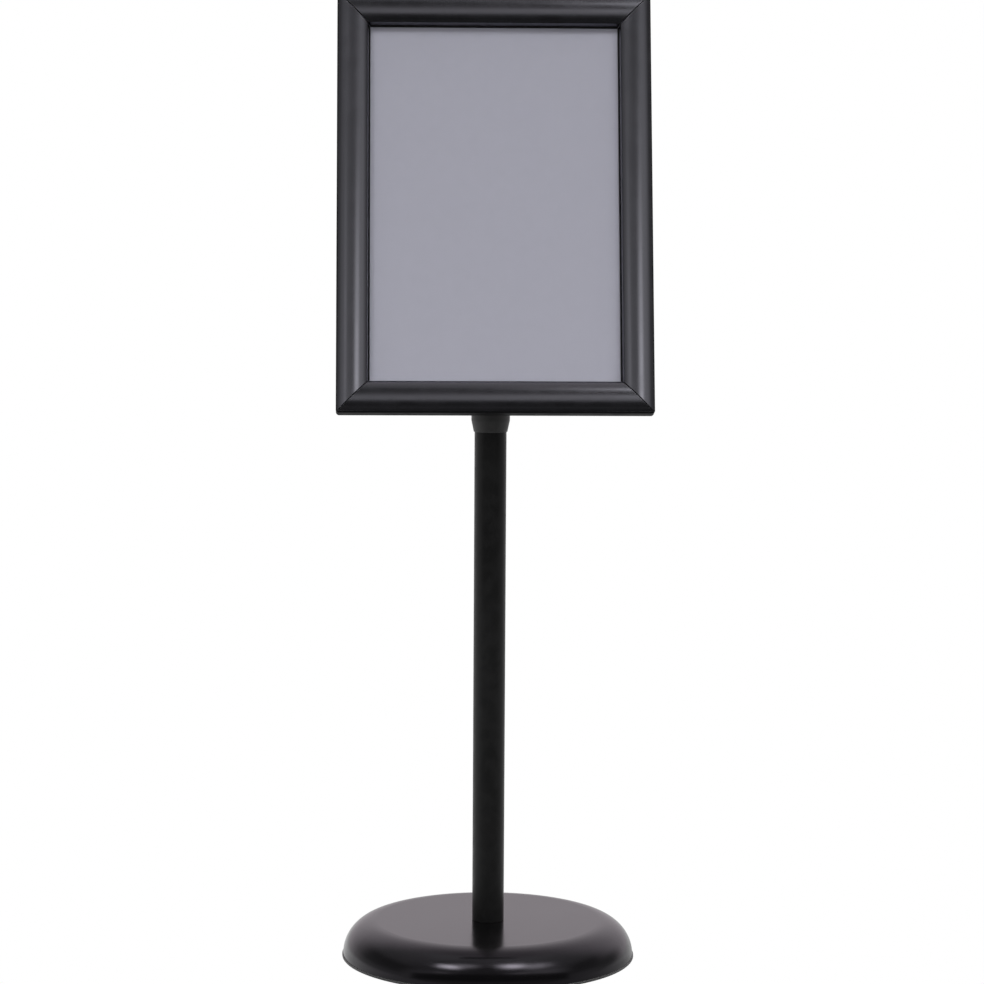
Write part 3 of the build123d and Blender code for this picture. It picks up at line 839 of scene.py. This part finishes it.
# %% [markdown]
# ## Small pieces that the drawing leaves out
# Each of the next pieces is modelled the way one would do it by hand: start with a
# simple solid of the right size, go into edit mode, and pull, inset and bevel it.
# Two helpers measure the CAD solids along the tilted frame's directions and turn a
# new piece to them, so that it sits on what carries it.

# %% Helpers: measuring the solids
def reach(node_name, direction):
    """The nearest and farthest extent of a solid along a direction, from the frame's middle."""
    node = nodes[node_name]
    corners = (node.matrix_world @ corner.co for corner in node.data.vertices)
    spots = [(corner - face_middle).dot(direction) for corner in corners]
    return min(spots), max(spots)


def face_turn(along, inward):
    """The turn that sends X along a side, Y toward the opening and Z to the front."""
    return Matrix((along, inward, face_normal)).transposed().to_euler()


# %% [markdown]
# The other helpers open the work on a piece, pick corners by their place, round the
# edges that are picked, and close the work. Every finished piece ends up at the origin
# with its place in its mesh, as the CAD solids are.

# %% Helpers: working on a piece
smooth_below = math.radians(35.0)


def start_edit():
    bpy.ops.object.mode_set(mode="EDIT")
    bpy.ops.mesh.select_mode(type="VERT")


def pick(piece, test):
    """Select the faces, edges and corners whose corners all pass the test, in edit mode."""
    bpy.ops.object.mode_set(mode="OBJECT")
    chosen = [test(corner.co) for corner in piece.data.vertices]
    for corner, wanted in zip(piece.data.vertices, chosen):
        corner.select = wanted
    for part in (*piece.data.edges, *piece.data.polygons):
        part.select = all(chosen[index] for index in part.vertices)
    bpy.ops.object.mode_set(mode="EDIT")


def round_edges(offset, segments):
    bpy.ops.mesh.bevel(offset=offset, segments=segments, affect="EDGES")


def close_piece(piece, name, body, finish):
    """Leave edit mode, put the piece's place into its mesh, and hand it to its body."""
    bpy.ops.object.mode_set(mode="EDIT")
    bpy.ops.mesh.select_all(action="SELECT")
    bpy.ops.mesh.normals_make_consistent(inside=False)
    bpy.ops.object.mode_set(mode="OBJECT")
    bpy.ops.object.transform_apply(location=True, rotation=True, scale=True)
    bpy.ops.object.shade_smooth_by_angle(angle=smooth_below)
    piece.name = name
    piece.data.name = name
    piece.data.materials.clear()
    piece.data.materials.append(finish)
    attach(piece, body)
    print("piece:", name, "triangles:", sum(len(face.vertices) - 2 for face in piece.data.polygons))


# %% [markdown]
# ** Shadow gap.** On the real frame a thin, dead black line runs round the sheet, inside the shiny covers, where shade fills the gap under the foot of each cover. A near-black strip on the foot of each cover paints that shade. Its place follows from the opening that the covers leave, so we measure that first.

# %% The opening inside the covers
strip_lift = 0.0001
opening_right = reach("cover_right", face_right)[0]
opening_left = reach("cover_left", face_right)[1]
opening_top = reach("cover_top", face_up)[0]
opening_bottom = reach("cover_bottom", face_up)[1]
strip_foot = min(reach("cover_bottom", face_normal)[0], reach("cover_left", face_normal)[0]) + strip_lift
opening_width = opening_right - opening_left
opening_height = opening_top - opening_bottom
middle_across = (opening_right + opening_left) / 2
middle_upward = (opening_top + opening_bottom) / 2
print("opening, mm:", round(opening_width * 1000, 2), round(opening_height * 1000, 2))

# %% [markdown]
# One strip is a long block: its upper edge leans back with the cover's skirt, its
# ends are mitred, and its corners are softly rounded. It rides on its cover, so that
# it swings up when the cover is opened.

# %% Painted shadow strips on the covers
strip_thickness = 0.00055
strip_height = 0.0018
strip_round = 0.00018
strip_mitre_gap = 0.0005
skirt_lean = math.radians(12.0)
# The strips' near-black tone is painted shade for the gap under the covers.
painted_gap_black = make_moulded(
    "painted_gap_black", (0.004, 0.004, 0.004), (0.007, 0.007, 0.007), (0.6, 0.75), 2200.0, 0.00002
)
set_shader(painted_gap_black, {"Specular IOR Level": 0.2})


def add_gap_shade(side, along, inward, length, across, upward):
    place = on_face(across, upward, strip_foot + strip_height / 2)
    bpy.ops.object.select_all(action="DESELECT")
    bpy.ops.mesh.primitive_cube_add(size=1.0, location=place, rotation=face_turn(along, inward))
    gap_strip = bpy.context.object
    gap_strip.scale = (length - strip_mitre_gap, strip_thickness, strip_height)
    bpy.ops.object.transform_apply(location=False, rotation=False, scale=True)
    start_edit()
    # Both ends are cut back at the side toward the opening, which mitres them
    for end in (-1, 1):
        pick(gap_strip, lambda spot: spot.x * end > 0 and spot.y > 0)
        bpy.ops.transform.translate(value=(-end * strip_thickness, 0, 0), orient_type="LOCAL")
    # The upper edge leans back with the skirt
    lean = strip_height * math.tan(skirt_lean)
    pick(gap_strip, lambda spot: spot.z > 0)
    bpy.ops.transform.translate(value=(0, -lean, 0), orient_type="LOCAL")
    for end in (-1, 1):
        pick(gap_strip, lambda spot: spot.x * end > 0 and spot.z > 0)
        bpy.ops.transform.translate(value=(end * lean, 0, 0), orient_type="LOCAL")
    bpy.ops.mesh.select_all(action="SELECT")
    round_edges(strip_round, 3)
    close_piece(gap_strip, "shadow_gap_" + side, "cover_" + side, painted_gap_black)


# Four strips of painted shade, one on the foot of each cover.
half_strip = strip_thickness / 2
add_gap_shade("bottom", face_right, face_up, opening_width, middle_across, opening_bottom + half_strip)
add_gap_shade("right", face_up, -face_right, opening_height, opening_right - half_strip, middle_upward)
add_gap_shade("top", -face_right, -face_up, opening_width, middle_across, opening_top - half_strip)
add_gap_shade("left", -face_up, face_right, opening_height, opening_left + half_strip, middle_upward)

# %% [markdown]
# **Blind rivets.** From behind, each corner key is pinned to both of its rails by a
# blind rivet: a low round head with a hollow middle where the pulled pin broke off.
# One head is turned out of a short cylinder: its rim is rounded and its middle is
# inset and pushed in. The other seven are copies with their own mesh.

# %% Helpers: a round head and its copies
rim_share = 0.55
hollow_taper = 0.1


def add_head(place, radius, height, hollow, hollow_depth):
    """A round head on the back of the frame, with its hollow facing to the back."""
    bpy.ops.object.select_all(action="DESELECT")
    bpy.ops.mesh.primitive_cylinder_add(
        vertices=40, radius=radius, depth=height, location=place,
        rotation=face_turn(face_right, face_up),
    )
    head = bpy.context.object
    start_edit()
    outer = -height / 2
    rim = height * rim_share
    pick(head, lambda spot: abs(spot.z - outer) < height / 10)
    round_edges(rim, 4)
    pick(head, lambda spot: abs(spot.z - outer) < height / 100)
    bpy.ops.mesh.inset(thickness=radius - rim - hollow, depth=0)
    bpy.ops.mesh.inset(thickness=hollow * hollow_taper, depth=-hollow_depth)
    bpy.ops.object.mode_set(mode="OBJECT")
    return head


def copy_to(original, places):
    """Copies with their own mesh, one at each further place, joined into one piece."""
    copies = [original]
    for place in places:
        bpy.ops.object.select_all(action="DESELECT")
        original.select_set(True)
        bpy.context.view_layer.objects.active = original
        bpy.ops.object.duplicate(linked=False)
        bpy.context.object.location = place
        copies.append(bpy.context.object)
    bpy.ops.object.select_all(action="DESELECT")
    for copy in copies:
        copy.select_set(True)
    bpy.context.view_layer.objects.active = original
    bpy.ops.object.join()
    return original


# %% [markdown]
# Two rivets belong to each corner: one in the level rail and one in the upright rail,
# both at the same distance from the corner and from the rail's outer edge.

# %% Corner rivets behind the rails
rivet_radius = 0.0024
rivet_height = 0.0009
rivet_hollow = 0.0009
rivet_hollow_depth = 0.0005
rivet_from_corner = 0.024
rivet_from_edge = 0.0075
frame_right = reach("rail_right", face_right)[1]
frame_left = reach("rail_left", face_right)[0]
frame_top = reach("rail_top", face_up)[1]
frame_bottom = reach("rail_bottom", face_up)[0]
rivet_outward = reach("rail_bottom", face_normal)[0] - rivet_height / 2
rivet_spots = []
for across, side_step in ((frame_right, -1), (frame_left, 1)):
    for upward, up_step in ((frame_top, -1), (frame_bottom, 1)):
        for inward, inset in ((rivet_from_corner, rivet_from_edge), (rivet_from_edge, rivet_from_corner)):
            spot = (across + side_step * inward, upward + up_step * inset)
            rivet_spots.append(on_face(*spot, rivet_outward))
rivet = add_head(rivet_spots[0], rivet_radius, rivet_height, rivet_hollow, rivet_hollow_depth)
corner_rivets = copy_to(rivet, rivet_spots[1:])
close_piece(corner_rivets, "corner_rivets", "frame", zinc_steel)

# %% [markdown]
# **Plate nuts.** The four screws of the turntable plate come through its back by less
# than a millimetre. Each one carries a low round cap nut, pressed on and a little
# narrower than the screw's head in front. It has the shape of a rivet head, so the
# same helper turns it.

# %% Cap nuts on the plate's back
plate_screw_span = reach("plate_screws", face_right)
plate_screw_rise = reach("plate_screws", face_up)
plate_back = reach("turntable_plate", face_normal)[0]
screw_tail = plate_back - reach("plate_screws", face_normal)[0]
screw_head_radius = 0.0038
cap_radius = 0.0036
cap_cover = 0.0006
cap_height = screw_tail + cap_cover
cap_hollow = 0.0011
cap_hollow_depth = 0.0004
cap_across = (plate_screw_span[1] - plate_screw_span[0]) / 2 - screw_head_radius
cap_upward = (plate_screw_rise[1] - plate_screw_rise[0]) / 2 - screw_head_radius
cap_spots = [
    on_face(side * cap_across, rise * cap_upward, plate_back - cap_height / 2)
    for side in (-1, 1) for rise in (-1, 1)
]
cap = add_head(cap_spots[0], cap_radius, cap_height, cap_hollow, cap_hollow_depth)
cap_nuts = copy_to(cap, cap_spots[1:])
close_piece(cap_nuts, "cap_nuts", "frame", zinc_steel)

# %% [markdown]
# **Ribs under the tray.** A moulded tray of this width is stiffened by thin ribs
# that run out like spokes. One rib is a long block with a rounded lower edge. It is
# copied round the middle in equal steps, between the feet.

# %% Ribs under the tray
tray_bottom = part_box("base_tray")[0].z
rib_count = 12
rib_start = 0.024
rib_end = 0.090
rib_width = 0.0016
rib_drop = 0.0007
rib_round = rib_drop * 0.45
rib_middle = tray_bottom - rib_drop / 2
bpy.ops.object.select_all(action="DESELECT")
bpy.ops.mesh.primitive_cube_add(size=1.0, location=((rib_start + rib_end) / 2, 0.0, rib_middle))
rib = bpy.context.object
rib.scale = (rib_end - rib_start, rib_width, rib_drop)
bpy.ops.object.transform_apply(location=True, rotation=True, scale=True)
start_edit()
pick(rib, lambda spot: spot.z < rib_middle)
round_edges(rib_round, 3)
for step in range(1, rib_count):
    pick(rib, lambda spot: abs(spot.y) < rib_width and spot.x > 0)
    bpy.ops.mesh.duplicate()
    bpy.ops.transform.rotate(
        value=math.tau * step / rib_count, orient_axis="Z", center_override=(0.0, 0.0, 0.0)
    )
close_piece(rib, "tray_ribs", "stand", black_moulding)

# %% [markdown]
# **Collars round the feet.** Each rubber foot sits inside a low moulded ring, so that
# it can't be pushed off sideways. A ring is a circle of edges, widened into a flat
# band and pulled down into a solid.

# %% Collars round the feet
collar_inner = 0.00815
collar_wall = 0.0012
collar_drop = 0.0008
collar_round = collar_drop * 0.3
foot_radius = 0.008
foot_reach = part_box("rubber_feet")[1].x - foot_radius
collar_spots = [
    Vector((side * foot_reach, rise * foot_reach, tray_bottom)) for side in (-1, 1) for rise in (-1, 1)
]
widen = (collar_inner + collar_wall) / collar_inner
bpy.ops.object.select_all(action="DESELECT")
bpy.ops.mesh.primitive_circle_add(
    vertices=56, radius=collar_inner, fill_type="NOTHING", location=collar_spots[0]
)
collar = bpy.context.object
start_edit()
bpy.ops.mesh.select_all(action="SELECT")
bpy.ops.mesh.extrude_edges_move()
bpy.ops.transform.resize(value=(widen, widen, 1.0), center_override=tuple(collar_spots[0]))
bpy.ops.mesh.select_all(action="SELECT")
bpy.ops.mesh.extrude_region_move(TRANSFORM_OT_translate={"value": (0, 0, -collar_drop)})
pick(collar, lambda spot: spot.z < -collar_drop / 2)
round_edges(collar_round, 2)
bpy.ops.object.mode_set(mode="OBJECT")
foot_collars = copy_to(collar, collar_spots[1:])
close_piece(foot_collars, "foot_collars", "stand", black_moulding)
